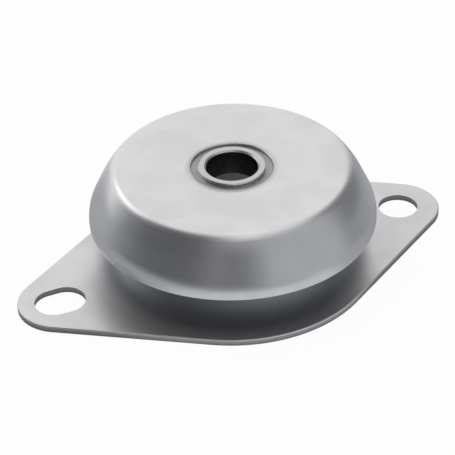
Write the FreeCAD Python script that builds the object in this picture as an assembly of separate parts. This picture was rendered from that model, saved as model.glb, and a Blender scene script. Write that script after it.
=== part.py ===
import FreeCAD, Part
import math
import os

# Machine mount, millimetres, +Z up, standing on z = 0 with the bolt axis on Z.
# A pressed base plate carries a moulded rubber body, and a deep-drawn cover
# sits on the rubber. A turned bush runs down the middle, with a washer
# riveted on below, so that the cover can't be pulled off the base.

# Bolts that the mount is made for, and how much room each one has.
fixing_bolt_d = 12.0
fixing_clearance = 1.0
centre_bolt_d = 16.0
centre_clearance = 0.4

# Base plate.
plate_t = 2.0
plate_middle_r = 46.0
plate_tip_r = 13.5
fixing_pitch = 120.0
slot_travel = 3.5
edge_roll_r = 0.4
foot_bend_r = 9.0
neck_wall_deg = 78.0
neck_shoulder_in_r = 4.0
neck_h = 22.0

# Cover, from its top face down.
cover_t = 2.0
cover_top_z = 35.6
cover_depth = 18.1
cover_rim_r = 45.9
crown_in_r = 2.0
crown_deg = 51.0
shoulder_in_r = 26.0
skirt_deg = 65.0
hem_in_r = 9.0
lip_deg = 90.0
lip_h = 0.8
cover_hole_d = 26.0
cover_hole_round_r = 0.5

# Centre bush and rebound washer.
bush_tube_d = 21.6
bush_stand = 0.4
bush_step_drop = 0.8
bush_flange_t = 3.0
bush_flange_ledge = 4.8
bush_chamfer = 0.6
bush_top_chamfer = 0.3
rivet_shoulder = 1.0
rivet_head_t = 1.4
rivet_head_over = 1.8
washer_d = 50.0
washer_t = 3.0
washer_chamfer = 0.4
washer_to_foot = 15.0

# Rubber body.
sleeve_t = 4.6
rebound_lip_t = 3.0
rebound_lip_r = 24.0
rebound_gap = 2.0
rubber_above_rim = 4.5
rubber_down_neck = 7.0
rubber_sag = 2.5

# Fits.
press_gap = 0.05
bond_gap = 0.1

fixing_r = (fixing_bolt_d + fixing_clearance) / 2
bore_r = (centre_bolt_d + centre_clearance) / 2
tube_r = bush_tube_d / 2
cover_hole_r = cover_hole_d / 2
foot_r = washer_d / 2 + washer_to_foot
neck_hole_r = tube_r + sleeve_t
cover_under_z = cover_top_z - cover_t
bush_top_z = cover_top_z + bush_stand
flange_r = cover_hole_r + bush_flange_ledge
flange_z = cover_under_z - bush_flange_t
lip_under_z = neck_h - plate_t - rebound_lip_t
washer_top_z = lip_under_z - rebound_gap
washer_z = washer_top_z - washer_t


def vec(r, z):
    return FreeCAD.Vector(r, 0, z)


def line(a, b):
    return Part.LineSegment(vec(*a), vec(*b)).toShape()


def polyline(points):
    return [line(a, b) for a, b in zip(points, points[1:])]


def revolve(edges):
    face = Part.Face(Part.Wire(Part.__sortEdges__(edges)))
    return face.revolve(FreeCAD.Vector(0, 0, 0), FreeCAD.Vector(0, 0, 1), 360)


def disc(radius, low, high):
    return Part.makeCylinder(radius, high - low, FreeCAD.Vector(0, 0, low))


def trace(start, moves, offset):
    """Follow a sheet's section outwards from (r, z), offset upwards from its top face.

    A move is ("run", length) or ("bend", radius, turn in degrees, downwards negative).
    """
    heading = 0.0
    r, z = start[0], start[1] + offset
    edges = []
    for move in moves:
        along = (math.cos(heading), math.sin(heading))
        up = (-along[1], along[0])
        if move[0] == "run":
            end = (r + along[0] * move[1], z + along[1] * move[1])
            edges.append(line((r, z), end))
        else:
            side = math.copysign(1, move[2])
            radius = move[1] - side * offset
            centre = (r + side * up[0] * radius, z + side * up[1] * radius)
            spots = []
            for share in (0.5, 1.0):
                angle = heading + math.radians(move[2]) * share
                spots.append((centre[0] + side * math.sin(angle) * radius,
                              centre[1] - side * math.cos(angle) * radius))
            end = spots[1]
            edges.append(Part.Arc(vec(r, z), vec(*spots[0]), vec(*end)).toShape())
            heading += math.radians(move[2])
        r, z = end
    return edges, (r, z)


WALL = ("wall",)


def drawn_moves(hole_r, outer_r, depth, shape):
    """Moves of a drawn sheet: a flat top, then shape, where WALL is a run as long as depth needs."""
    heading = 0.0
    reach = 0.0
    drop = 0.0
    wall = 0.0
    for move in shape:
        if move == WALL:
            wall = heading
        elif move[0] == "run":
            reach += move[1] * math.cos(heading)
            drop -= move[1] * math.sin(heading)
        else:
            after = heading + math.radians(move[2])
            reach += move[1] * abs(math.sin(after) - math.sin(heading))
            drop += move[1] * abs(math.cos(heading) - math.cos(after))
            heading = after
    length = (depth - drop) / -math.sin(wall)
    flat = outer_r - hole_r - reach - length * math.cos(wall)
    return [("run", flat)] + [("run", length) if move == WALL else move for move in shape]


def neck_moves(hole_r):
    shape = [("bend", neck_shoulder_in_r + plate_t, -neck_wall_deg), WALL,
             ("bend", foot_bend_r, neck_wall_deg)]
    return drawn_moves(hole_r, foot_r, neck_h - plate_t, shape)


def cover_moves(hole_r):
    shape = [("bend", crown_in_r + cover_t, -crown_deg),
             ("bend", shoulder_in_r + cover_t, crown_deg - skirt_deg), WALL,
             ("bend", hem_in_r + cover_t, skirt_deg - lip_deg), ("run", lip_h)]
    return drawn_moves(hole_r, cover_rim_r, cover_depth, shape)


def sheet(start, moves, over, under):
    """Solid ring of sheet between two offsets from its top face."""
    top, top_end = trace(start, moves, over)
    low, low_end = trace(start, moves, under)
    first = line((start[0], start[1] + over), (start[0], start[1] + under))
    return revolve(top + low + [first, line(top_end, low_end)])


def filled(start, moves, offset, floor):
    """Solid of everything under a sheet's offset face, down to floor."""
    edges, end = trace(start, moves, offset)
    corners = [end, (end[0], floor), (0, floor), (0, start[1] + offset)]
    return revolve(edges + polyline(corners))


def tangent_outline(middle_r, tip_r, tip_x):
    """Closed wire round a middle circle and an equal tip circle at each end."""
    lean = math.acos((middle_r - tip_r) / tip_x)
    co, si = math.cos(lean), math.sin(lean)
    edges = []
    for sx in (1, -1):
        tip = FreeCAD.Vector(sx * (tip_x + tip_r), 0, 0)
        ends = []
        for sy in (1, -1):
            near = FreeCAD.Vector(sx * middle_r * co, sy * middle_r * si, 0)
            far = FreeCAD.Vector(sx * (tip_x + tip_r * co), sy * tip_r * si, 0)
            edges.append(Part.LineSegment(near, far).toShape())
            ends.append(far)
        edges.append(Part.Arc(ends[0], tip, ends[1]).toShape())
    for sy in (1, -1):
        a = FreeCAD.Vector(-middle_r * co, sy * middle_r * si, 0)
        b = FreeCAD.Vector(middle_r * co, sy * middle_r * si, 0)
        edges.append(Part.Arc(a, FreeCAD.Vector(0, sy * middle_r, 0), b).toShape())
    return Part.Wire(Part.__sortEdges__(edges))


def slot_cutter(x, radius, travel):
    """Upright stadium through the plate, travel longer than it is wide."""
    half = travel / 2
    block = Part.makeBox(travel, 2 * radius, 3 * plate_t,
                         FreeCAD.Vector(x - half, -radius, -plate_t))
    for end in (x - half, x + half):
        block = block.fuse(Part.makeCylinder(radius, 3 * plate_t, FreeCAD.Vector(end, 0, -plate_t)))
    return block


def base_plate():
    """One pressing: flat diamond flange, swept up into a necked ring."""
    flat = Part.Face(tangent_outline(plate_middle_r, plate_tip_r, fixing_pitch / 2))
    flange = flat.extrude(FreeCAD.Vector(0, 0, plate_t))
    rim = [e for e in flange.Edges if e.BoundBox.ZMin > plate_t - 0.001]
    flange = flange.makeFillet(edge_roll_r, rim)
    flange = flange.cut(disc(foot_r, -plate_t, 2 * plate_t))
    neck = sheet((neck_hole_r, neck_h), neck_moves(neck_hole_r), 0.0, -plate_t)
    plate = flange.fuse(neck).removeSplitter()
    plate = plate.cut(slot_cutter(-fixing_pitch / 2, fixing_r, slot_travel))
    hole = Part.makeCylinder(fixing_r, 3 * plate_t, FreeCAD.Vector(fixing_pitch / 2, 0, -plate_t))
    return plate.cut(hole)


def cover():
    """One deep-drawn shell: flat top, tight crown, rounded skirt turning upright at the rim."""
    shell = sheet((cover_hole_r, cover_top_z), cover_moves(cover_hole_r), 0.0, -cover_t)
    mouth = [e for e in shell.Edges
             if e.BoundBox.ZMin > cover_top_z - 0.001 and e.BoundBox.XMax < cover_hole_r + 0.001]
    return shell.makeFillet(cover_hole_round_r, mouth)


def centre_bush():
    """Turned bush: bolt bore, step that the cover locates on, flange and riveted end."""
    spigot_r = tube_r - rivet_shoulder
    head_r = spigot_r + rivet_head_over
    head_z = washer_z - rivet_head_t
    step_r = cover_hole_r - press_gap
    step_z = cover_top_z - bush_step_drop
    corners = [
        (bore_r, head_z + bush_chamfer), (bore_r + bush_chamfer, head_z),
        (head_r - bush_chamfer, head_z), (head_r, head_z + bush_chamfer),
        (head_r, washer_z), (spigot_r, washer_z),
        (spigot_r, washer_top_z), (tube_r, washer_top_z),
        (tube_r, flange_z), (flange_r, flange_z),
        (flange_r, cover_under_z), (step_r, cover_under_z),
        (step_r, step_z), (tube_r, step_z),
        (tube_r, bush_top_z - bush_top_chamfer), (tube_r - bush_top_chamfer, bush_top_z),
        (bore_r + bush_chamfer, bush_top_z), (bore_r, bush_top_z - bush_chamfer),
    ]
    return revolve(polyline(corners + corners[:1]))


def rebound_washer():
    """Plain washer on the bush's lower end, which stops the cover lifting off."""
    hole_r = tube_r - rivet_shoulder + press_gap
    outer_r = washer_d / 2
    corners = [
        (hole_r, washer_z), (outer_r - washer_chamfer, washer_z),
        (outer_r, washer_z + washer_chamfer), (outer_r, washer_top_z - washer_chamfer),
        (outer_r - washer_chamfer, washer_top_z), (hole_r, washer_top_z),
    ]
    return revolve(polyline(corners + corners[:1]))


def rubber_body():
    """One moulding: load ring between neck and cover, sleeve round the bush, rebound lip."""
    inner_r = tube_r + bond_gap
    high = (cover_rim_r, cover_top_z - cover_depth + rubber_above_rim)
    low = (foot_r - foot_bend_r, neck_h - rubber_down_neck)
    chord = math.hypot(high[0] - low[0], high[1] - low[1])
    middle = ((high[0] + low[0]) / 2 - rubber_sag * (high[1] - low[1]) / chord,
              (high[1] + low[1]) / 2 + rubber_sag * (high[0] - low[0]) / chord)
    free_face = Part.Arc(vec(*high), vec(*middle), vec(*low)).toShape()
    corners = [low, (inner_r, low[1]), (inner_r, cover_top_z), (cover_rim_r, cover_top_z), high]
    ring = revolve(polyline(corners) + [free_face])
    ring = ring.common(filled((0.0, cover_top_z), cover_moves(0.0), -cover_t - bond_gap, 0.0))
    ring = ring.cut(filled((0.0, neck_h), neck_moves(0.0), bond_gap, 0.0))
    ring = ring.cut(disc(flange_r + bond_gap, flange_z - bond_gap, cover_top_z))
    sleeve = revolve(polyline([
        (inner_r, lip_under_z), (rebound_lip_r, lip_under_z),
        (rebound_lip_r, neck_h + bond_gap), (inner_r, neck_h + bond_gap), (inner_r, lip_under_z)]))
    clear_hole_r = neck_hole_r - bond_gap
    plate_room = sheet((clear_hole_r, neck_h), neck_moves(clear_hole_r),
                       bond_gap, -plate_t - bond_gap)
    return ring.fuse(sleeve.cut(plate_room)).removeSplitter()


NODES = {
    "base_plate": base_plate,
    "bell_cover": cover,
    "centre_bush": centre_bush,
    "rebound_washer": rebound_washer,
    "rubber_body": rubber_body,
}

os.makedirs("parts", exist_ok=True)
for node, make in NODES.items():
    shape = make()
    shape.exportStep("parts/%s.step" % node)
    box = shape.BoundBox
    print("%-15s solids %d valid %s volume %.0f x %.2f..%.2f y %.2f..%.2f z %.2f..%.2f" % (
        node, len(shape.Solids), shape.isValid(), shape.Volume,
        box.XMin, box.XMax, box.YMin, box.YMax, box.ZMin, box.ZMax))
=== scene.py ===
# %% [markdown]
# A captive machine mount: a bell of drawn stainless sheet on a block of rubber,
# over a diamond base plate with a drawn-up neck. The metal and its sizes come
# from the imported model, so this file dresses it: camera, studio, finishes, and
# the rubber, which has to stretch and squeeze as the bell moves.

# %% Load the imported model
import math

import bmesh
import bpy
from mathutils import Matrix, Vector
from mathutils.bvhtree import BVHTree


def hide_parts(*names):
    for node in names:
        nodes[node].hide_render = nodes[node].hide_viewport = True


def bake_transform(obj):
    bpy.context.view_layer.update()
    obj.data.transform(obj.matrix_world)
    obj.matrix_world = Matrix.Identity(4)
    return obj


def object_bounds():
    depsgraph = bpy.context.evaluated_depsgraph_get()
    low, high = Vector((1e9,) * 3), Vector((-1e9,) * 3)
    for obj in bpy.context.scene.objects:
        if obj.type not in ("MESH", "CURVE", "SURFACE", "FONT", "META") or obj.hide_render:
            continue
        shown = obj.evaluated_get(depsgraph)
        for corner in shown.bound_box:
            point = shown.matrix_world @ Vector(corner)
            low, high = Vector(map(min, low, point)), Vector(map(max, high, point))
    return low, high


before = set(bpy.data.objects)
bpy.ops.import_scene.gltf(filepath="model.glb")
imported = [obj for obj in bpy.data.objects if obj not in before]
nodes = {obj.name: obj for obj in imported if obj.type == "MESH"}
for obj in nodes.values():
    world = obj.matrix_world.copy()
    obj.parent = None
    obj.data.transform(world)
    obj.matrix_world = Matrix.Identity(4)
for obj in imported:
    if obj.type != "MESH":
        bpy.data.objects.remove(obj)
cad_low, cad_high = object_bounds()
print("nodes", sorted(nodes), "size", [round(v, 4) for v in cad_high - cad_low])

# %% [markdown]
# The photograph is taken with a long lens from the front left, about 35 degrees
# above the bench, with the camera tipped by a degree. The camera could be aimed
# by eye, but the plate's outline and the round edges pin it down well, so the
# numbers below are the ones that lay those edges over the picture.

# %% Camera
FRAME_PX = 455
SENSOR_MM = 36.0
FOCAL_PX = 2237.2
CAMERA_AZIMUTH = math.radians(-23.55)
CAMERA_ELEVATION = math.radians(35.49)
CAMERA_ROLL = math.radians(-1.24)
CAMERA_DISTANCE = 0.7254
AIM_ACROSS = -0.0018
AIM_UP = 0.0097


def camera_axes(azimuth, elevation, roll):
    back = Vector((math.sin(azimuth) * math.cos(elevation),
                   -math.cos(azimuth) * math.cos(elevation),
                   math.sin(elevation)))
    across = Vector((math.cos(azimuth), math.sin(azimuth), 0))
    up = back.cross(across)
    tipped_across = across * math.cos(roll) + up * math.sin(roll)
    tipped_up = up * math.cos(roll) - across * math.sin(roll)
    return across, up, back, tipped_across, tipped_up


across, up, back, tipped_across, tipped_up = camera_axes(
    CAMERA_AZIMUTH, CAMERA_ELEVATION, CAMERA_ROLL)
camera_data = bpy.data.cameras.new("photo_camera")
camera_data.sensor_width = SENSOR_MM
camera_data.lens = FOCAL_PX / FRAME_PX * SENSOR_MM
camera = bpy.data.objects.new("photo_camera", camera_data)
bpy.context.scene.collection.objects.link(camera)
camera.matrix_world = Matrix.Translation(
    across * AIM_ACROSS + up * AIM_UP + back * CAMERA_DISTANCE
) @ Matrix((tipped_across, tipped_up, back)).transposed().to_4x4()
bpy.context.scene.camera = camera
print("lens %.0f mm" % camera_data.lens)

# %% [markdown]
# A finish in Blender is a graph of small nodes. Building one in code is mostly
# adding a node and linking it to the last, so these helpers do that. Each takes
# the tree it builds in and hands back an output to link onward, so that a graph
# can be written like a sum.

# %% Shader node helpers
def new_material(name):
    material = bpy.data.materials.new(name)
    material.use_nodes = True
    tree = material.node_tree
    return material, tree, tree.nodes["Principled BSDF"]


def add(tree, kind, **values):
    """A new node; values with a matching socket go there, the rest are properties."""
    node = tree.nodes.new(kind)
    for key, value in values.items():
        if hasattr(node, key):
            setattr(node, key, value)
        else:
            node.inputs[key].default_value = value
    return node


def fill_sockets(tree, node, sides):
    """Each side is a value for the node's next socket, or another node's output."""
    for socket, side in zip(node.inputs, sides):
        if isinstance(side, (int, float, tuple, Vector)):
            socket.default_value = side
        elif side is not None:
            tree.links.new(side, socket)


def maths(tree, operation, *sides):
    node = add(tree, "ShaderNodeMath", operation=operation)
    fill_sockets(tree, node, sides)
    return node.outputs[0]


def vector_maths(tree, operation, *sides):
    node = add(tree, "ShaderNodeVectorMath", operation=operation)
    fill_sockets(tree, node, sides)
    gives_number = operation in ("LENGTH", "DOT_PRODUCT")
    return node.outputs["Value" if gives_number else "Vector"]


# %% Soft steps, mixed shaders and what counts as seen
def smooth_step(tree, value, low, high, start=0.0, end=1.0):
    """Start below low, end above high, and a soft change between."""
    node = add(tree, "ShaderNodeMapRange", interpolation_type="SMOOTHSTEP")
    tree.links.new(value, node.inputs["Value"])
    ends = (("From Min", low), ("From Max", high), ("To Min", start), ("To Max", end))
    for label, number in ends:
        node.inputs[label].default_value = number
    return node.outputs["Result"]


def mixed_shader(tree, factor, first, second):
    node = add(tree, "ShaderNodeMixShader")
    for socket, output in zip(node.inputs, (factor, first, second)):
        tree.links.new(output, socket)
    return node.outputs[0]


def seen_factor(tree):
    """1 for what the camera, a reflection or a see-through ray looks at."""
    path = add(tree, "ShaderNodeLightPath").outputs
    seen = maths(tree, "MAXIMUM", path["Is Camera Ray"], path["Is Glossy Ray"])
    return maths(tree, "MAXIMUM", seen, path["Is Transmission Ray"])


# %% [markdown]
# Bare metal is mostly a picture of the room, and this room is white. Lit by all
# of it at full strength, the mount would come out pale and flat, so only what
# the camera and the reflections see is white. What lands on the mount as light
# is a dimmer fill.

# %% White surroundings
WHITE = (1.0, 1.0, 1.0)
FILL_LIGHT = 0.62
world = bpy.data.worlds.new("white_room")
world.use_nodes = True
bpy.context.scene.world = world
room = world.node_tree
room.nodes.clear()
seen = add(room, "ShaderNodeBackground", Color=(*WHITE, 1.0), Strength=1.0)
fill = add(room, "ShaderNodeBackground", Color=(*WHITE, 1.0), Strength=FILL_LIGHT)
room_out = add(room, "ShaderNodeOutputWorld")
room.links.new(mixed_shader(room, seen_factor(room), fill.outputs[0], seen.outputs[0]),
               room_out.inputs["Surface"])
bpy.context.scene.view_settings.view_transform = "Standard"
print("fill light", FILL_LIGHT)

# %% [markdown]
# The mount stands on white paper. One big plane is enough, because a white room
# hides its edge. Where the camera or a reflection looks, the paper mostly glows,
# so it comes out as pale as the room, and the rest of it takes light and keeps
# the mount's shadow. Below the middle of the plate the glow stops, because the
# paper lies in the dark there and shows through the bore.

# %% Floor
FLOOR_HALF = 2.0
FLOOR_DROP = 0.0001
FLOOR_WHITE = 0.95
PAPER_GREY = 0.82
PAPER_ROUGHNESS = 0.9
HOLLOW_R = 0.034
HOLLOW_FADE = 0.008
floor_mesh = bpy.data.meshes.new("floor")
floor_mesh.from_pydata(
    [(sx * FLOOR_HALF, sy * FLOOR_HALF, 0) for sx, sy in ((-1, -1), (1, -1), (1, 1), (-1, 1))],
    [], [(0, 1, 2, 3)])
floor = bpy.data.objects.new("floor", floor_mesh)
floor.location.z = cad_low.z - FLOOR_DROP
bpy.context.scene.collection.objects.link(floor)
material, tree, principled = new_material("floor_paper")
principled.inputs["Base Color"].default_value = (PAPER_GREY, PAPER_GREY, PAPER_GREY, 1)
principled.inputs["Roughness"].default_value = PAPER_ROUGHNESS
glow = add(tree, "ShaderNodeEmission", Strength=1.0)
from_middle = vector_maths(tree, "LENGTH", add(tree, "ShaderNodeTexCoord").outputs["Object"])
open_paper = smooth_step(tree, from_middle, HOLLOW_R, HOLLOW_R + HOLLOW_FADE, 0.0, FLOOR_WHITE)
glowing = maths(tree, "MULTIPLY", seen_factor(tree), open_paper)
tree.links.new(mixed_shader(tree, glowing, principled.outputs[0], glow.outputs[0]),
               tree.nodes["Material Output"].inputs["Surface"])
floor_mesh.materials.append(material)
print("floor at %.4f m" % floor.location.z)


# %% [markdown]
# Two flat lamps shape the metal. A broad one hangs nearly overhead. Reflections
# don't see it, or the flat top would show it as a bright square. A narrow one
# behind the mount, at the left, puts the glint on the bend of the bell. Small
# lamps would be simpler, but they leave hard spots on metal.

# %% Lamps
def direction(azimuth, elevation):
    """Unit vector; azimuth is degrees to the camera's right, as seen from the mount."""
    a, e = CAMERA_AZIMUTH + math.radians(azimuth), math.radians(elevation)
    return Vector((math.sin(a) * math.cos(e), -math.cos(a) * math.cos(e), math.sin(e)))


def soft_lamp(name, azimuth, elevation, distance, width, height, power):
    """A flat lamp that faces the mount."""
    data = bpy.data.lights.new(name, "AREA")
    data.shape = "RECTANGLE"
    data.size = width
    data.size_y = height
    data.energy = power
    lamp = bpy.data.objects.new(name, data)
    lamp.location = direction(azimuth, elevation) * distance
    lamp.rotation_mode = "QUATERNION"
    lamp.rotation_quaternion = lamp.location.to_track_quat("Z", "Y")
    bpy.context.scene.collection.objects.link(lamp)
    print(name, power, "W at", [round(v, 2) for v in lamp.location])
    return lamp


soft_lamp("glint_lamp", azimuth=-127, elevation=39, distance=1.4,
          width=0.85, height=0.34, power=1.15)
top_lamp = soft_lamp("top_lamp", azimuth=-60, elevation=70, distance=1.6,
                     width=0.9, height=0.9, power=8)
top_lamp.visible_glossy = False

# %% [markdown]
# A white room alone would make the bell as flat as its top, so grey cards stand
# on the photographer's side, as they do in a real studio. They reach up overhead
# and a few lie on the floor. Each is a patch of one sphere or disc with a soft
# edge, darkest at the front left and open behind the mount, so the top stays
# white while the skirt shades round from dark to light. Only reflections see
# them. They are a little cool, which is where dark steel gets its blue.

# %% Patches for the cards
CARD_COLUMNS = 24
CARD_ROWS_DEG = 6


def ring_patch(name, centre, half, rings):
    """A strip round the mount between azimuths; rings are points (azimuth) -> position."""
    verts, faces = [], []
    for k in range(CARD_COLUMNS + 1):
        azimuth = centre - half + 2 * half * k / CARD_COLUMNS
        verts += [ring(azimuth) for ring in rings]
    for k in range(CARD_COLUMNS):
        for i in range(len(rings) - 1):
            a = k * len(rings) + i
            faces.append((a, a + len(rings), a + len(rings) + 1, a + 1))
    mesh = bpy.data.meshes.new(name)
    mesh.from_pydata(verts, [], faces)
    mesh.shade_smooth()
    obj = bpy.data.objects.new(name, mesh)
    bpy.context.scene.collection.objects.link(obj)
    return obj


# %% Paint of the cards
def card_paint(name, middle, half, edge, level, tint, fade=None):
    """Grey that fades out past half degrees from its middle, and upward over the fade.

    With a fade the angle is measured round the mount, and without one in all directions.
    """
    paint, tree, _ = new_material(name)
    where = add(tree, "ShaderNodeTexCoord").outputs["Object"]
    outward = vector_maths(tree, "NORMALIZE", where)
    around = outward
    if fade is not None:
        around = vector_maths(tree, "NORMALIZE", vector_maths(tree, "MULTIPLY", where, (1, 1, 0)))
    turn = maths(tree, "ARCCOSINE", vector_maths(tree, "DOT_PRODUCT", around, middle))
    cover = smooth_step(tree, turn, math.radians(half - edge), math.radians(half + edge), 1.0, 0.0)
    if fade is not None:
        split = add(tree, "ShaderNodeSeparateXYZ")
        tree.links.new(outward, split.inputs[0])
        rise = maths(tree, "ARCSINE", split.outputs[2])
        low, high = (math.radians(angle) for angle in fade)
        cover = maths(tree, "MULTIPLY", cover, smooth_step(tree, rise, low, high, 1.0, 0.0))
    shade = add(tree, "ShaderNodeEmission", Color=(*tint, 1.0), Strength=level)
    clear = add(tree, "ShaderNodeBsdfTransparent")
    tree.links.new(mixed_shader(tree, cover, clear.outputs[0], shade.outputs[0]),
                   tree.nodes["Material Output"].inputs["Surface"])
    return paint


def hang(obj, paint):
    """A card that only reflections see."""
    obj.data.materials.append(paint)
    obj.visible_camera = False
    obj.visible_diffuse = False
    obj.visible_shadow = False
    obj.visible_transmission = False


# %% Cards
CARD_DISTANCE = 0.28
CARD_EDGE = 16
CARD_TINT = (0.975, 0.99, 1.04)
CARD_INNER = 0.01
CARD_OUTER = 0.4
CARD_GAP = 0.00001
FADE_OVERHEAD = (80, 90)


def standing_card(name, centre, half, level, fade):
    rings = [lambda a, e=e: direction(a, e) * CARD_DISTANCE for e in range(0, 91, CARD_ROWS_DEG)]
    hang(ring_patch(name, centre, half + CARD_EDGE, rings),
         card_paint(name, direction(centre, 0), half, CARD_EDGE, level, CARD_TINT, fade))


def lying_card(name, centre, half, level, inner, layer):
    """A card just above the floor, on a layer of its own; it never reaches its upper fade."""
    lift = Vector((0, 0, cad_low.z - layer * CARD_GAP))
    rings = [lambda a, r=r: direction(a, 0) * r + lift for r in (inner, CARD_OUTER)]
    hang(ring_patch(name, centre, half + CARD_EDGE, rings),
         card_paint(name, direction(centre, 0), half, CARD_EDGE, level, CARD_TINT, FADE_OVERHEAD))


def hanging_card(name, azimuth, elevation, half, edge, level, distance):
    """A round card overhead."""
    rings = [lambda a, e=e: direction(a, e) * distance for e in range(24, 91, CARD_ROWS_DEG)]
    hang(ring_patch(name, 0, 180, rings),
         card_paint(name, direction(azimuth, elevation), half, edge, level, WHITE))


standing = (("left_card", -89, 17, 0.32, (60, 95)),
            ("front_left_card", -50, 38, 0.125, (58, 98)),
            ("front_card", 5, 23, 0.17, (22, 75)),
            ("front_right_card", 52, 33, 0.54, (38, 78)),
            ("right_card", 112, 30, 0.23, (44, 74)))
lying = (("floor_left_card", -84, 58, 0.47, CARD_INNER, 6),
         ("floor_right_card", 108, 52, 0.46, CARD_INNER, 5),
         ("floor_front_card", 12, 44, 0.76, CARD_INNER, 4),
         ("floor_horizon_card", 2, 50, 0.40, 0.115, 3))
for card in standing:
    standing_card(*card)
for card in lying:
    lying_card(*card)
hanging_card("bright_card", 146, 64, 16, 12, 1.12, 0.33)
print("cards", [name for name, *_ in standing + lying], "and one overhead")


# %% [markdown]
# Every metal surface here has a fine tooth, from rolling, plating or turning. It
# could be modelled, but it is far finer than a pixel, so it is a height for Bump
# and a patchy mask that makes some places a little rougher. All the finishes use
# it, so it is built once, with sockets to set how fine and how uneven it is.

# %% Node group: fine grain
PATCHES_FROM, PATCHES_TO = 0.35, 0.65


def new_group(name, inputs, outputs):
    group = bpy.data.node_groups.new(name, "ShaderNodeTree")
    for label, value in inputs.items():
        socket = group.interface.new_socket(label, in_out="INPUT", socket_type="NodeSocketFloat")
        socket.default_value = value
    for label in outputs:
        group.interface.new_socket(label, in_out="OUTPUT", socket_type="NodeSocketFloat")
    return group, group.nodes.new("NodeGroupInput"), group.nodes.new("NodeGroupOutput")


def object_point(tree):
    """The point on the mount in its own frame, in metres, and its x, y and z."""
    where = add(tree, "ShaderNodeTexCoord").outputs["Object"]
    parts = add(tree, "ShaderNodeSeparateXYZ")
    tree.links.new(where, parts.inputs[0])
    return where, parts.outputs


grain, grain_in, grain_out = new_group(
    "fine_grain", {"Fineness": 4000.0, "Patch Size": 60.0}, ("Height", "Patches"))
where, _ = object_point(grain)
fine = add(grain, "ShaderNodeTexNoise", Detail=3.0, Roughness=0.6)
wide = add(grain, "ShaderNodeTexNoise", Detail=4.0, Roughness=0.55)
for texture, size in ((fine, "Fineness"), (wide, "Patch Size")):
    grain.links.new(where, texture.inputs["Vector"])
    grain.links.new(grain_in.outputs[size], texture.inputs["Scale"])
grain.links.new(fine.outputs[0], grain_out.inputs["Height"])
grain.links.new(smooth_step(grain, wide.outputs[0], PATCHES_FROM, PATCHES_TO),
                grain_out.inputs["Patches"])
print("group", grain.name)


# %% [markdown]
# Corners of bare metal are rubbed brighter in handling. Painting them by hand
# would not follow a change of size, so the mask compares the surface's own
# normal with one rounded over a small radius: they differ only beside an edge.
# A noise breaks the line up, as real wear is.

# %% Node group: edge wear
EDGE_FROM, EDGE_TO = 0.05, 0.25
BREAKS_PER_M = 700.0
BREAKS_FROM, BREAKS_TO = 0.3, 0.6


def noise(tree, where, scale, detail=2.0):
    node = add(tree, "ShaderNodeTexNoise", Scale=scale, Detail=detail)
    tree.links.new(where, node.inputs["Vector"])
    return node.outputs[0]


def product(tree, *masks):
    """Several masks or numbers multiplied."""
    result = masks[0]
    for mask in masks[1:]:
        result = maths(tree, "MULTIPLY", result, mask)
    return result


wear, wear_in, wear_out = new_group("edge_wear", {"Width": 0.0004, "Amount": 1.0}, ("Wear",))
rounded = add(wear, "ShaderNodeBevel", samples=6)
wear.links.new(wear_in.outputs["Width"], rounded.inputs["Radius"])
own_normal = add(wear, "ShaderNodeNewGeometry").outputs["Normal"]
agree = vector_maths(wear, "DOT_PRODUCT", rounded.outputs[0], own_normal)
edge = smooth_step(wear, maths(wear, "SUBTRACT", 1.0, agree), EDGE_FROM, EDGE_TO)
where, _ = object_point(wear)
broken = smooth_step(wear, noise(wear, where, BREAKS_PER_M, 4.0), BREAKS_FROM, BREAKS_TO)
wear.links.new(product(wear, edge, broken, wear_in.outputs["Amount"]), wear_out.inputs["Wear"])
print("group", wear.name)


# %% [markdown]
# A lathe leaves rings round the bush and the washer. The rings follow the
# distance from the centre line on a face and the height on a wall, so the group
# adds the two and makes waves of them, with a little noise so they don't look
# printed. Rings cut into the mesh would take far more points and show no better.

# %% Node group: turning lines
WANDER = 0.00012
WANDERS_PER_M = 300.0


def from_centre_line(tree, parts):
    """The point's distance from the mount's centre line."""
    flat = add(tree, "ShaderNodeCombineXYZ")
    tree.links.new(parts[0], flat.inputs[0])
    tree.links.new(parts[1], flat.inputs[1])
    return vector_maths(tree, "LENGTH", flat.outputs[0])


turning, turning_in, turning_out = new_group("turning_lines", {"Pitch": 0.00025}, ("Height",))
where, parts = object_point(turning)
along = maths(turning, "ADD", from_centre_line(turning, parts), parts[2])
wander = maths(turning, "MULTIPLY", noise(turning, where, WANDERS_PER_M), WANDER)
turns = maths(turning, "DIVIDE", maths(turning, "ADD", along, wander), turning_in.outputs["Pitch"])
wave = maths(turning, "SINE", maths(turning, "MULTIPLY", turns, 2 * math.pi))
turning.links.new(wave, turning_out.inputs["Height"])
print("group", turning.name)

# %% [markdown]
# A little workshop dust lies on whatever faces up, in drifts. Painted dust would
# need an image, so slope and a noise place it. It is a mask only, and each finish
# decides how its dust looks.

# %% Node group: dust
UPWARD_FROM, UPWARD_TO = 0.2, 0.95
DRIFTS_PER_M = 160.0
DRIFTS_FROM, DRIFTS_TO = 0.3, 0.7
dust, dust_in, dust_out = new_group("dust_film", {"Amount": 0.3}, ("Dust",))
where, _ = object_point(dust)
facing = add(dust, "ShaderNodeSeparateXYZ")
dust.links.new(add(dust, "ShaderNodeNewGeometry").outputs["Normal"], facing.inputs[0])
upward = smooth_step(dust, facing.outputs[2], UPWARD_FROM, UPWARD_TO)
drifts = smooth_step(dust, noise(dust, where, DRIFTS_PER_M, 3.0), DRIFTS_FROM, DRIFTS_TO)
dust.links.new(product(dust, upward, drifts, dust_in.outputs["Amount"]), dust_out.inputs["Dust"])
print("group", dust.name)


# %% [markdown]
# The finishes are all put together in the same few moves: place a group, mix
# colours by a mask, add roughness by masks, lay relief on the normal, and give
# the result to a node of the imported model.

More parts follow.
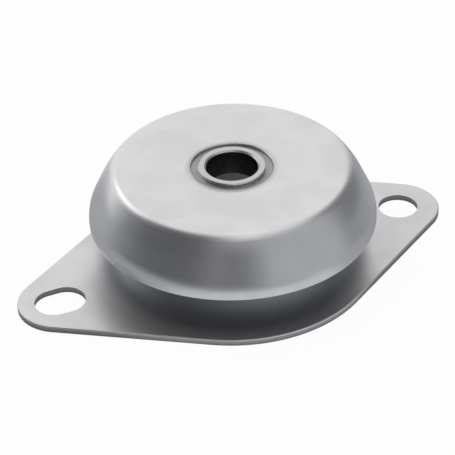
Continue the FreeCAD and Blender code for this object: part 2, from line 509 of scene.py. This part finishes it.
# %% Tools for the finishes
def use(tree, group, **values):
    node = tree.nodes.new("ShaderNodeGroup")
    node.node_tree = group
    for label, value in values.items():
        node.inputs[label.replace("_", " ")].default_value = value
    return node.outputs


def mix_colour(tree, factor, first, second):
    """Colours are tuples or other nodes' outputs."""
    node = add(tree, "ShaderNodeMix", data_type="RGBA")
    tree.links.new(factor, node.inputs[0])
    for socket, side in ((node.inputs[6], first), (node.inputs[7], second)):
        if isinstance(side, tuple):
            socket.default_value = (*side, 1)
        else:
            tree.links.new(side, socket)
    return node.outputs[2]


def raised_by(tree, base, shares):
    """A number plus a share of each mask."""
    total = base
    for mask, share in shares:
        total = maths(tree, "ADD", maths(tree, "MULTIPLY", mask, share), total)
    return total


def bump(tree, principled, height, strength, depth, over=None):
    """Relief on a finish, laid over another relief where one is given."""
    node = add(tree, "ShaderNodeBump")
    node.inputs["Strength"].default_value = strength
    node.inputs["Distance"].default_value = depth
    tree.links.new(height, node.inputs["Height"])
    if over is not None:
        tree.links.new(over, node.inputs["Normal"])
    tree.links.new(node.outputs[0], principled.inputs["Normal"])
    return node.outputs[0]


def dress(node_name, material):
    mesh = nodes[node_name].data
    mesh.materials.clear()
    mesh.materials.append(material)
    print(node_name, "in", material.name)


# %% [markdown]
# The plate and the bell are pressed from stainless sheet, and a pressing has one skin all over. It
# could be split into faces with a material each, but height, radius and slope on the object
# already tell the places apart. So a group gives a mask for each: the flats, the cut side with its
# torn lower half, the neck, which is drawn hardest and comes out dull, and the drawn-down edge
# round the bell's hole. Their radii and heights are the imported model's, some with a small
# margin, and the widths of the soft edges are chosen.

# %% Node group: where a point of the sheet lies
SHEET_T = 0.002
UPRIGHT = 0.05
FLAT_FROM, FLAT_TO = 0.9, 0.99
TEAR_LOW, TEAR_SWING, TEARS_PER_M = 0.0004, 0.0006, 900.0
NECK_R = 0.0455
NECK_FOOT = 0.007
NECK_TOP = 0.0221
HOLE_R = 0.0130
HOLE_EDGE = 0.0023
zones, _, zones_out = new_group(
    "sheet_zones", {}, ("Flats", "Cut Side", "Torn", "Neck", "Hole Edge"))
where, parts = object_point(zones)
height = parts[2]
facing = add(zones, "ShaderNodeSeparateXYZ")
zones.links.new(add(zones, "ShaderNodeNewGeometry").outputs["Normal"], facing.inputs[0])
level = maths(zones, "ABSOLUTE", facing.outputs[2])
cut = product(zones, maths(zones, "LESS_THAN", level, UPRIGHT),
              maths(zones, "LESS_THAN", height, SHEET_T))
tear = raised_by(zones, TEAR_LOW, [(noise(zones, where, TEARS_PER_M, 3.0), TEAR_SWING)])
away = from_centre_line(zones, parts)
inside = maths(zones, "SUBTRACT", 1.0, smooth_step(zones, away, NECK_R - NECK_FOOT, NECK_R))
neck = product(zones, inside, maths(zones, "LESS_THAN", height, NECK_TOP))
torn = product(zones, cut, maths(zones, "LESS_THAN", height, tear))
hole_edge = smooth_step(zones, away, HOLE_R, HOLE_R + HOLE_EDGE)
flats = smooth_step(zones, level, FLAT_FROM, FLAT_TO)
for label, mask in (("Flats", flats), ("Cut Side", cut), ("Torn", torn),
                    ("Neck", neck), ("Hole Edge", hole_edge)):
    zones.links.new(mask, zones_out.inputs[label])
print("group", zones.name)

# %% [markdown]
# Cold rolling leaves long faint lines along the sheet, and drawing pulls fine
# marks up the walls. An image could hold them, but two stretched noises do it
# without one: one is drawn out along the rolling direction for the flats, and
# one is wrapped round the centre line for the walls.

# %% Node group: lines in the sheet
ROLLED_PER_M = (40.0, 2600.0, 40.0)
ROUND_LINES, UP_LINES_PER_M = 90.0, 60.0
marks, marks_in, marks_out = new_group("sheet_marks", {"Flats": 1.0}, ("Height",))
where, parts = object_point(marks)
stretched = add(marks, "ShaderNodeMapping", Scale=ROLLED_PER_M)
marks.links.new(where, stretched.inputs["Vector"])
rolled = noise(marks, stretched.outputs[0], 1.0, 3.0)
round_wall = add(marks, "ShaderNodeCombineXYZ")
angle = maths(marks, "ARCTAN2", parts[1], parts[0])
marks.links.new(maths(marks, "MULTIPLY", angle, ROUND_LINES), round_wall.inputs[0])
marks.links.new(maths(marks, "MULTIPLY", parts[2], UP_LINES_PER_M), round_wall.inputs[1])
lines = add(marks, "ShaderNodeMix", data_type="FLOAT")
marks.links.new(marks_in.outputs["Flats"], lines.inputs[0])
marks.links.new(noise(marks, round_wall.outputs[0], 1.0, 3.0), lines.inputs[2])
marks.links.new(rolled, lines.inputs[3])
marks.links.new(lines.outputs[0], marks_out.inputs["Height"])
print("group", marks.name)

# %% [markdown]
# Both pressings share one satin finish, and the plate looks a little rougher in the photograph
# than the bell. The colour is nearly neutral, because the blue and the dark of steel come from
# what it reflects. Each zone then changes the colour and the roughness a little: the cut sides are
# darker. The neck is rougher, and its much darker colour is painted shade under the bell's rim. A
# ring round the bell's hole is drawn down by a shallow relief and painted darker as the shade of
# that dip. A deeper relief could darken that ring by itself, but it catches a white glint, so most
# of it is painted shade.

# %% Stainless sheet
SHEET_COLOUR = (0.704, 0.706, 0.711)
SHEET_DULL = (0.622, 0.626, 0.635)
CUT_EDGE = (0.31, 0.312, 0.318)
TORN_EDGE = (0.25, 0.252, 0.256)
RUBBED_EDGE = (0.86, 0.865, 0.875)
# Painted shade: the neck under the bell's rim is given a much darker colour.
NECK_PAINTED_SHADE = (0.372, 0.38, 0.402)
# Painted shade: the drawn-down ring round the bell's hole is darkened in colour.
HOLE_PAINTED_SHADE = (0.47, 0.475, 0.484)
HOLE_DROP = 0.0004
TOOTH_DEPTH = 0.00004
PATCHY_SHARE, LINED_SHARE = 0.6, 0.4


def stainless_sheet(name, roughness, metallic):
    """Satin cold-rolled sheet; a duller piece is rougher and less of a mirror."""
    material, tree, principled = new_material(name)
    principled.inputs["Metallic"].default_value = metallic
    where, _ = object_point(tree)
    zone = use(tree, zones)
    tooth = use(tree, grain, Fineness=5200.0, Patch_Size=55.0)
    worn = use(tree, wear, Width=0.0005, Amount=1.0)["Wear"]
    rubbed = product(tree, worn, maths(tree, "SUBTRACT", 1.0, zone["Cut Side"]))
    dusty = use(tree, dust, Amount=0.04)["Dust"]
    lines = use(tree, marks)["Height"]
    tree.links.new(zone["Flats"], lines.node.inputs["Flats"])
    cloudy = maths(tree, "MULTIPLY_ADD", tooth["Patches"], PATCHY_SHARE,
                   maths(tree, "MULTIPLY", lines, LINED_SHARE))
    # Painted shade on the ring round the bell's hole, strongest at the hole's edge.
    hole_shade_mask = maths(tree, "SUBTRACT", 1.0, zone["Hole Edge"])
    colour = SHEET_COLOUR
    # The neck's colour and the hole ring's colour are painted shade.
    for mask, other in ((cloudy, SHEET_DULL), (hole_shade_mask, HOLE_PAINTED_SHADE),
                        (zone["Cut Side"], CUT_EDGE), (zone["Torn"], TORN_EDGE),
                        (rubbed, RUBBED_EDGE), (zone["Neck"], NECK_PAINTED_SHADE)):
        colour = mix_colour(tree, mask, colour, other)
    tree.links.new(colour, principled.inputs["Base Color"])
    rough = raised_by(tree, roughness, (
        (tooth["Patches"], 0.04), (zone["Cut Side"], 0.12), (zone["Torn"], 0.1),
        (zone["Neck"], 0.14), (rubbed, 0.12), (dusty, 0.3)))
    tree.links.new(rough, principled.inputs["Roughness"])
    relief = maths(tree, "ADD", tooth["Height"], maths(tree, "MULTIPLY", lines, 1.2))
    pulled = product(tree, zone["Torn"], noise(tree, where, 2500.0, 4.0))
    edge_down = bump(tree, principled, zone["Hole Edge"], 1.0, HOLE_DROP)
    bump(tree, principled, maths(tree, "ADD", relief, pulled), 0.03, TOOTH_DEPTH, over=edge_down)
    return material


dress("base_plate", stainless_sheet("satin_plate", roughness=0.39, metallic=0.93))
dress("bell_cover", stainless_sheet("satin_bell", roughness=0.28, metallic=1.0))

# %% [markdown]
# The bush is turned from bar, so its faces carry rings from the tool. It stands in the bell's hole
# with its flange a step lower: that step is rougher, and its darker colour is painted shade in the
# recess between the bush and the hole's edge. Down to a step in depth the bore is painted
# near-black as the shade inside it, and below that it is a paler matt grey with faint rings.
# Radius and height find both places, so one material does it.

# %% Turned bush
BUSH_COLOUR = (0.545, 0.547, 0.552)
RUBBED_STEEL = (0.66, 0.66, 0.665)
# Painted shade: the flange's step down in the bell's hole is darkened in colour.
LEDGE_PAINTED_SHADE = (0.36, 0.36, 0.37)
STEEL_DUST = (0.45, 0.44, 0.42)
# Painted shade: the bore down to the step is near-black as the shade inside it.
BORE_PAINTED_SHADE = (0.10, 0.10, 0.105)
BORE_GREY = (0.36, 0.36, 0.37)
BUSH_TUBE_R = 0.0108
BORE_R = 0.0082
BORE_STEP_Z = 0.0274
LEDGE_Z = 0.0348
MARGIN = 0.0001
turned, tree, principled = new_material("turned_steel")
_, parts = object_point(tree)
radius = from_centre_line(tree, parts)
tooth = use(tree, grain, Fineness=6000.0, Patch_Size=120.0)
worn = use(tree, wear, Width=0.0004, Amount=0.8)["Wear"]
dusty = use(tree, dust, Amount=0.1)["Dust"]
rings = use(tree, turning, Pitch=0.00022)["Height"]
ledge = product(tree, maths(tree, "GREATER_THAN", radius, BUSH_TUBE_R + MARGIN),
                maths(tree, "LESS_THAN", parts[2], LEDGE_Z + 2 * MARGIN))
# The bore mask carries the painted shade of the bore.
bore = maths(tree, "LESS_THAN", radius, BORE_R + MARGIN)
deep = product(tree, bore, maths(tree, "LESS_THAN", parts[2], BORE_STEP_Z))
streaked = product(tree, deep, raised_by(tree, 0.88, [(rings, 0.12)]))
# The ledge and the upper bore take painted shade in their colour.
colour = BUSH_COLOUR
for mask, other in ((ledge, LEDGE_PAINTED_SHADE), (worn, RUBBED_STEEL), (dusty, STEEL_DUST),
                    (bore, BORE_PAINTED_SHADE), (streaked, BORE_GREY)):
    colour = mix_colour(tree, mask, colour, other)
tree.links.new(colour, principled.inputs["Base Color"])
tree.links.new(maths(tree, "SUBTRACT", 1.0, maths(tree, "MULTIPLY", deep, 0.85)),
               principled.inputs["Metallic"])
tree.links.new(raised_by(tree, 0.24, ((tooth["Patches"], 0.08), (ledge, 0.2), (deep, 0.3))),
               principled.inputs["Roughness"])
bump(tree, principled, maths(tree, "ADD", maths(tree, "MULTIPLY", rings, 0.5), tooth["Height"]),
     0.25, TOOTH_DEPTH)
dress("centre_bush", turned)

# %% [markdown]
# The rebound washer is a plated stock part. Bright zinc is bluer than stainless
# and slightly cloudy. It sits up inside the neck, where only a view from below
# shows it, so its finish is a plain one, made of the groups that are there.

# %% Zinc-plated washer
ZINC_BLUE = (0.60, 0.63, 0.68)
ZINC_PALE = (0.68, 0.69, 0.70)
ZINC_RUBBED = (0.50, 0.50, 0.50)
plated, tree, principled = new_material("bright_zinc")
principled.inputs["Metallic"].default_value = 1.0
tooth = use(tree, grain, Fineness=3500.0, Patch_Size=160.0)
worn = use(tree, wear, Width=0.0005, Amount=0.9)["Wear"]
rings = use(tree, turning, Pitch=0.0004)["Height"]
colour = mix_colour(tree, tooth["Patches"], ZINC_BLUE, ZINC_PALE)
tree.links.new(mix_colour(tree, worn, colour, ZINC_RUBBED), principled.inputs["Base Color"])
tree.links.new(raised_by(tree, 0.3, [(tooth["Patches"], 0.12)]), principled.inputs["Roughness"])
bump(tree, principled, maths(tree, "ADD", maths(tree, "MULTIPLY", rings, 0.4), tooth["Height"]),
     0.3, TOOTH_DEPTH)
dress("rebound_washer", plated)

# %% [markdown]
# Black natural rubber, moulded against a blasted tool: matt, finely pitted, with
# a grey bloom that comes to the surface with age. The pits could be modelled, but
# the fine grain with other values gives them, and the dust group gives the bloom.

# %% Rubber finish
RUBBER_BLACK = (0.012, 0.012, 0.013)
RUBBER_WORN = (0.022, 0.022, 0.023)
BLOOM = (0.09, 0.085, 0.08)
PIT_DEPTH = 0.00006
black, tree, principled = new_material("moulded_rubber")
pits = use(tree, grain, Fineness=2600.0, Patch_Size=90.0)
dusty = use(tree, dust, Amount=0.5)["Dust"]
colour = mix_colour(tree, pits["Patches"], RUBBER_BLACK, RUBBER_WORN)
tree.links.new(mix_colour(tree, dusty, colour, BLOOM), principled.inputs["Base Color"])
tree.links.new(raised_by(tree, 0.5, [(pits["Patches"], 0.12)]), principled.inputs["Roughness"])
bump(tree, principled, pits["Height"], 0.5, PIT_DEPTH)
print("rubber in", black.name)


# %% [markdown]
# The rubber is one moulding: a ring carrying the load between the neck and the
# bell, a sleeve round the bush and a lip under the plate which catches the
# rebound washer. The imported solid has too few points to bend, so it is turned
# again in small steps. Its outline needn't be typed in: a round solid has a seam
# where its mesh starts and ends, and the points on that seam are the outline.

# %% Outline of the rubber
SAME_POINT = 2e-6
ON_SEAM = 1e-6


def seam_outline(node):
    """The half section of a round node, as (radius, height) in order."""
    mesh = bmesh.new()
    mesh.from_mesh(node.data)
    bmesh.ops.remove_doubles(mesh, verts=mesh.verts, dist=SAME_POINT)
    flat_verts = {v for v in mesh.verts if abs(v.co.y) < ON_SEAM and v.co.x > 0}
    links = {}
    for line in mesh.edges:
        a, b = line.verts
        if a in flat_verts and b in flat_verts:
            links.setdefault(a, []).append(b)
            links.setdefault(b, []).append(a)
    start = max(links, key=lambda v: v.co.x)
    loop, last, here = [start], None, start
    while True:
        onward = [v for v in links[here] if v is not last]
        last, here = here, onward[0]
        if here is start:
            break
        loop.append(here)
    points = [(v.co.x, v.co.z) for v in loop]
    mesh.free()
    return points


outline = seam_outline(nodes["rubber_body"])
print("rubber outline", len(outline), "points")


# %% [markdown]
# A moulding has two things that its plain section lacks: a soft corner on the
# lip, where the tool is radiused, and a parting line where the tool's halves
# meet on the free face. Both are changes to the outline before it is turned,
# which is simpler and cleaner than cutting them into a finished mesh.

# %% Helpers for the outline
def corner_rounded(points, corner, size, steps=5):
    """The outline with one corner, given as (radius, height), cut to an arc."""
    i = min(range(len(points)), key=lambda k: math.dist(points[k], corner))
    here = Vector(points[i])
    before, after = Vector(points[i - 1]), Vector(points[(i + 1) % len(points)])
    first = here + (before - here).normalized() * size
    last = here + (after - here).normalized() * size
    centre = first + last - here
    arc = []
    for k in range(steps + 1):
        turn = math.pi / 2 * k / steps
        p = centre + (first - centre) * math.cos(turn) + (last - centre) * math.sin(turn)
        arc.append((p.x, p.y))
    return points[:i] + arc + points[i + 1:]


def small_steps(points, step):
    """The same closed outline with no stretch longer than step."""
    fine = []
    for a, b in zip(points, points[1:] + points[:1]):
        n = max(1, math.ceil(math.dist(a, b) / step))
        fine += [(a[0] + (b[0] - a[0]) * k / n, a[1] + (b[1] - a[1]) * k / n) for k in range(n)]
    return fine


def with_bead(points, centre, width, height):
    """A low ridge on the outline around one of its points, square to the surface."""
    raised = []
    for before, here, after in zip(points[-1:] + points[:-1], points, points[1:] + points[:1]):
        lift = height * math.exp(-(math.dist(here, centre) / width) ** 2)
        along = Vector(after) - Vector(before)
        out = Vector((-along.y, along.x)).normalized() if along.length else Vector((0, 0))
        raised.append((here[0] - out.x * lift, here[1] - out.y * lift))
    return raised


# %% Moulded details on the outline
STEP = 0.0009
LIP_CORNER = 0.0008
LIP_BELOW_Z = 0.0195
LIP_WITHIN_R = 0.030
PARTING_WIDTH = 0.0006
PARTING_BEAD = 0.00022
free_top = outline[0]
free_foot = min(outline, key=lambda p: (round(p[1], 5), -p[0]))
on_lip = [p for p in outline if p[1] < LIP_BELOW_Z and p[0] < LIP_WITHIN_R]
lip_corner = max(on_lip, key=lambda p: (p[0], -p[1]))
outline = small_steps(corner_rounded(outline, lip_corner, LIP_CORNER), STEP)
halfway = ((free_top[0] + free_foot[0]) / 2, (free_top[1] + free_foot[1]) / 2)
parting = min(outline, key=lambda p: math.dist(p, halfway))
outline = with_bead(outline, parting, PARTING_WIDTH, PARTING_BEAD)
for label, point in (("free face's top", free_top), ("foot", free_foot),
                     ("lip corner", lip_corner), ("parting line", parting)):
    print(label, [round(v * 1000, 1) for v in point], "mm")


# %% [markdown]
# The outline is turned round the centre line into a closed ring of small
# quads. A Screw modifier would do the same, but a mesh made in code is known
# point by point, and each point gets its own share of the movement below.

# %% Rubber moulding
AROUND = 144
SHARP_DEG = 35


def turned_piece(name, points, around):
    """A closed outline turned about the centre line."""
    verts, faces = [], []
    for k in range(around):
        turn = 2 * math.pi * k / around
        verts += [(r * math.cos(turn), r * math.sin(turn), z) for r, z in points]
    count = len(points)
    for k in range(around):
        here, onward = k * count, (k + 1) % around * count
        faces += [(here + i, here + (i + 1) % count, onward + (i + 1) % count, onward + i)
                  for i in range(count)]
    mesh = bpy.data.meshes.new(name)
    mesh.from_pydata(verts, [], faces)
    mesh.shade_smooth()
    mesh.set_sharp_from_angle(angle=math.radians(SHARP_DEG))
    obj = bpy.data.objects.new(name, mesh)
    bpy.context.scene.collection.objects.link(obj)
    return obj


rubber = turned_piece("rubber_moulding", outline, AROUND)
rubber.data.materials.append(black)

# %% [markdown]
# The rubber is bonded to both metals, so it has to follow the plate at one side
# and the bell at the other. A share by height alone would pull it off the sloping
# walls, so each point's share of the bell's movement is how near it is to the
# bell against how near it is to the plate. In the neck's opening the share goes
# by height, so that the sleeve stretches evenly along the bush. Below the neck's
# top the plate holds all the rubber, except on the free face, which stretches.

# %% Shares of the movement
FLANGE_UNDER = 0.0304
BELL_FROM_Z = 0.0104
NECK_HOLE_R = 0.0154
SHARES_CHANGE = 0.003


def surface_tree(*names, above=-1.0):
    """The named CAD surfaces for nearest-point questions, only faces above a height."""
    verts, faces = [], []
    for name in names:
        mesh = nodes[name].data
        start = len(verts)
        verts += [v.co.copy() for v in mesh.vertices]
        faces += [[start + i for i in p.vertices] for p in mesh.polygons
                  if all(mesh.vertices[i].co.z > above for i in p.vertices)]
    return BVHTree.FromPolygons(verts, faces)


def bell_share(point, plate_side, bell_side):
    radius = math.hypot(point.x, point.y)
    by_height = min(1.0, max(0.0, (point.z - NECK_TOP) / (FLANGE_UNDER - NECK_TOP)))
    if radius < free_foot[0] and point.z < NECK_TOP + MARGIN:
        return 0.0
    to_plate = plate_side.find_nearest(point)[3]
    to_bell = bell_side.find_nearest(point)[3]
    by_distance = to_plate / (to_plate + to_bell)
    outward = min(1.0, max(0.0, (radius - NECK_HOLE_R) / SHARES_CHANGE))
    return by_height + (by_distance - by_height) * outward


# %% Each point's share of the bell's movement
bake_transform(rubber)
plate_side = surface_tree("base_plate")
bell_side = surface_tree("bell_cover", "centre_bush", above=BELL_FROM_Z)
shares = [bell_share(v.co, plate_side, bell_side) for v in rubber.data.vertices]
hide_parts("rubber_body")
print("shares from %.3f to %.3f" % (min(shares), max(shares)))
